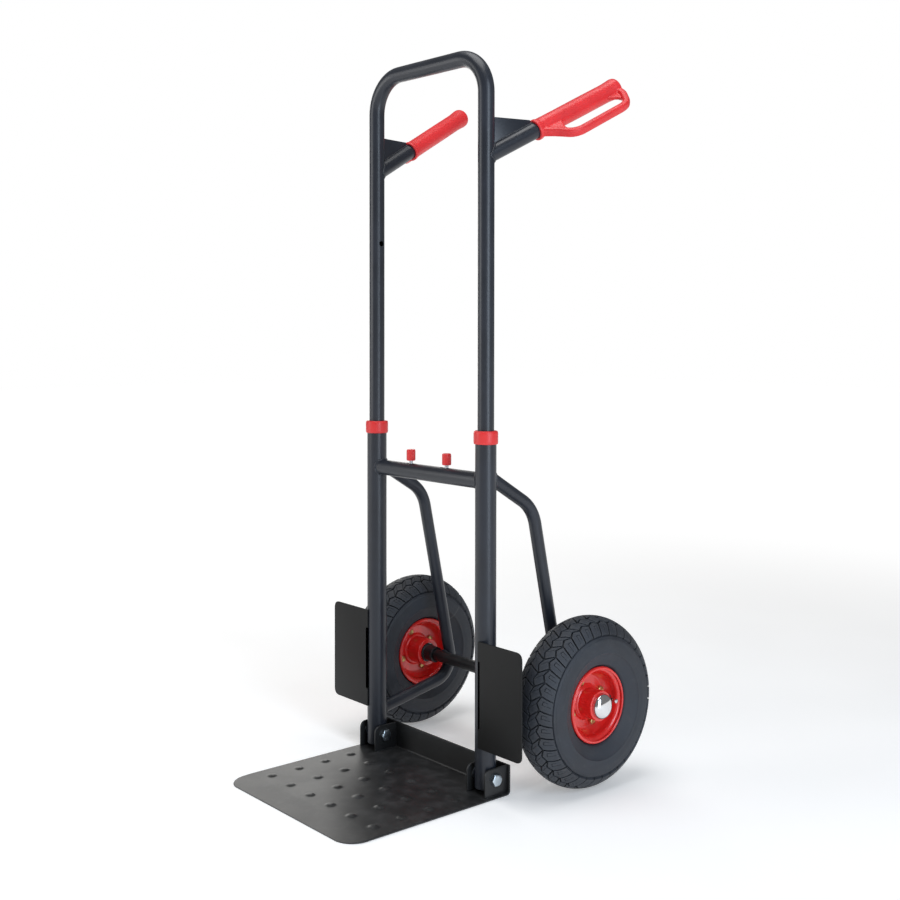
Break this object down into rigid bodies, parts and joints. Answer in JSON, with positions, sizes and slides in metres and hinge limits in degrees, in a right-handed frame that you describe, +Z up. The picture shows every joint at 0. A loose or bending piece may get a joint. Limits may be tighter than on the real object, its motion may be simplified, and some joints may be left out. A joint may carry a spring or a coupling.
{
  "type": "hand truck",
  "caption": "Two-wheeled hand truck with a telescopic push frame, two push handles with knuckle guards, a folding dimpled toe plate and air-filled wheels.",
  "frame": {"origin": "middle of the uprights' hinge line, on the floor under the toe plate", "axes": "+X to the right seen from the front, +Y to the rear, -Y along the toe plate, +Z up"},
  "size_m": [0.493, 0.548, 1.12],
  "materials": {
    "frame_black": "satin powder coat",
    "axle_black": "satin black",
    "cap_chrome": "bright chrome",
    "guard_black": "matt powder coat",
    "red_plastic": "semi gloss",
    "grip_red": "soft satin",
    "dark_plastic": "moulded",
    "bare_steel": "turned",
    "spring_steel": "drawn wire",
    "tyre_rubber": "moulded rubber",
    "tube_rubber": "smooth rubber",
    "rim_red": "gloss enamel",
    "bearing_steel": "ground",
    "brass_plated": "zinc passivated",
    "valve_rubber": "moulded",
    "cap_metal": "bright",
    "toe_black": "satin powder coat",
    "zinc_bolt": "bright zinc"
  },
  "bodies": {
    "frame": {"left_upright": "frame_black", "right_upright": "frame_black", "crossbar": "frame_black", "left_brace": "frame_black", "right_brace": "frame_black", "axle": "axle_black", "left_axle_spacer": "axle_black", "right_axle_spacer": "axle_black", "left_axle_cap": "cap_chrome", "right_axle_cap": "cap_chrome", "left_wheel_guard": "guard_black", "right_wheel_guard": "guard_black", "left_collar": "red_plastic", "right_collar": "red_plastic", "left_latch_bush": "dark_plastic", "right_latch_bush": "dark_plastic"},
    "handle": {"push_frame": "frame_black", "left_handle_tube": "frame_black", "right_handle_tube": "frame_black", "left_gusset": "frame_black", "right_gusset": "frame_black", "left_grip": "grip_red", "right_grip": "grip_red", "left_slide_bush": "dark_plastic", "right_slide_bush": "dark_plastic"},
    "left_latch": {"left_latch_pin": "bare_steel", "left_latch_button": "red_plastic", "left_latch_spring": "spring_steel"},
    "right_latch": {"right_latch_pin": "bare_steel", "right_latch_button": "red_plastic", "right_latch_spring": "spring_steel"},
    "toe_plate": {"toe_plate": "toe_black", "left_hinge_ears": "toe_black", "right_hinge_ears": "toe_black", "pivot_bolts": "zinc_bolt", "pivot_nuts": "zinc_bolt", "pivot_washers": "zinc_bolt"},
    "left_wheel": {"left_tyre": "tyre_rubber", "left_inner_tube": "tube_rubber", "left_rim_outer": "rim_red", "left_rim_inner": "rim_red", "left_hub": "rim_red", "left_bearings": "bearing_steel", "left_rim_bolts": "brass_plated", "left_rim_nuts": "brass_plated", "left_valve": "valve_rubber", "left_valve_cap": "cap_metal"},
    "right_wheel": {"right_tyre": "tyre_rubber", "right_inner_tube": "tube_rubber", "right_rim_outer": "rim_red", "right_rim_inner": "rim_red", "right_hub": "rim_red", "right_bearings": "bearing_steel", "right_rim_bolts": "brass_plated", "right_rim_nuts": "brass_plated", "right_valve": "valve_rubber", "right_valve_cap": "cap_metal"}
  },
  "joints": [
    {"name": "handle_slide", "type": "slide", "parent": "frame", "child": "handle", "axis": [0, 0, 1], "range_m": [-0.368, 0]},
    {"name": "toe_fold", "type": "hinge", "parent": "frame", "child": "toe_plate", "pos_m": [0, 0, 0.028], "axis": [-1, 0, 0], "range_deg": [0, 90]},
    {"name": "left_wheel_spin", "type": "hinge", "parent": "frame", "child": "left_wheel", "pos_m": [-0.2005, 0.141, 0.13], "axis": [1, 0, 0], "continuous": true},
    {"name": "right_wheel_spin", "type": "hinge", "parent": "frame", "child": "right_wheel", "pos_m": [0.2005, 0.141, 0.13], "axis": [1, 0, 0], "continuous": true},
    {"name": "left_latch_slide", "type": "slide", "parent": "frame", "child": "left_latch", "axis": [1, 0, 0], "range_m": [-0.006, 0.01], "stiffness_N_per_m": 400, "deforming": ["left_latch_spring"]},
    {"name": "right_latch_slide", "type": "slide", "parent": "frame", "child": "right_latch", "axis": [-1, 0, 0], "range_m": [-0.006, 0.01], "stiffness_N_per_m": 400, "deforming": ["right_latch_spring"]}
  ]
}
